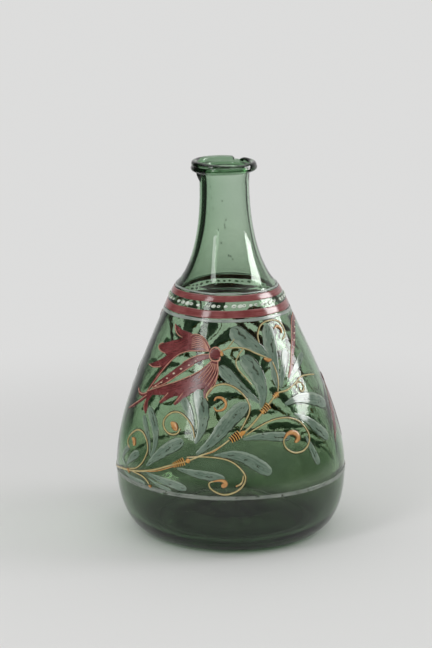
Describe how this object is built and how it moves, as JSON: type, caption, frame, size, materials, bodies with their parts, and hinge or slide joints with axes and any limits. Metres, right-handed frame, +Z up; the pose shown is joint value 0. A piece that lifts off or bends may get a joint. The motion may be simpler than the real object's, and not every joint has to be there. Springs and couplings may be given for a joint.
{
  "type": "glass bottle",
  "caption": "Bell-shaped blown green glass bottle with a slender neck, a thread of glass wound round the mouth and raised enamel bands, leaves and red blossoms",
  "frame": {"origin": "middle of the foot on the surface that the bottle stands on", "axes": "+Z up along the bottle, -Y the side with the main red blossom, +X to the right of that side"},
  "size_m": [0.1341, 0.1342, 0.216],
  "materials": {
    "green_glass": "clear grey-green blown glass with small bubbles, glossy",
    "thread_glass": "clear green glass, thick, glossy",
    "red_enamel": "fired brown-red enamel, satin, a little worn",
    "grey_enamel": "fired thin grey-white enamel, satin",
    "leaf_enamel": "fired grey-green enamel, satin, rubbed and pitted",
    "yellow_enamel": "fired yellow and orange enamel lines, glossy, raised"
  },
  "bodies": {
    "root": {"glass_vessel": "green_glass", "lip_trail": "thread_glass", "foot_line": "grey_enamel", "under_line": "grey_enamel", "neck_line": "grey_enamel", "lower_red_band": "red_enamel", "upper_red_band": "red_enamel", "front_leaves_knot": "leaf_enamel", "front_leaves_low": "leaf_enamel", "front_leaves_middle": "leaf_enamel", "front_leaf_side": "leaf_enamel", "front_leaves_upper": "leaf_enamel", "front_leaves_crown": "leaf_enamel", "front_leaves_right": "leaf_enamel", "front_leaf_branch": "leaf_enamel", "front_blossom_upper_petal": "red_enamel", "front_blossom_middle_petal": "red_enamel", "front_blossom_lower_petal": "red_enamel", "front_blossom_boss": "red_enamel", "front_bud": "red_enamel", "front_stem": "yellow_enamel", "hanging_blossom_near_petal": "red_enamel", "hanging_blossom_middle_petal": "red_enamel", "hanging_blossom_far_petal": "red_enamel", "hanging_blossom_boss": "red_enamel", "back_leaves_knot": "leaf_enamel", "back_leaves_low": "leaf_enamel", "back_leaves_middle": "leaf_enamel", "back_leaf_side": "leaf_enamel", "back_leaves_upper": "leaf_enamel", "back_leaves_crown": "leaf_enamel", "back_leaves_right": "leaf_enamel", "back_leaf_branch": "leaf_enamel", "back_leaves_end": "leaf_enamel", "back_blossom_upper_petal": "red_enamel", "back_blossom_middle_petal": "red_enamel", "back_blossom_lower_petal": "red_enamel", "back_blossom_boss": "red_enamel", "back_bud": "red_enamel", "back_stem": "yellow_enamel"}
  },
  "joints": []
}
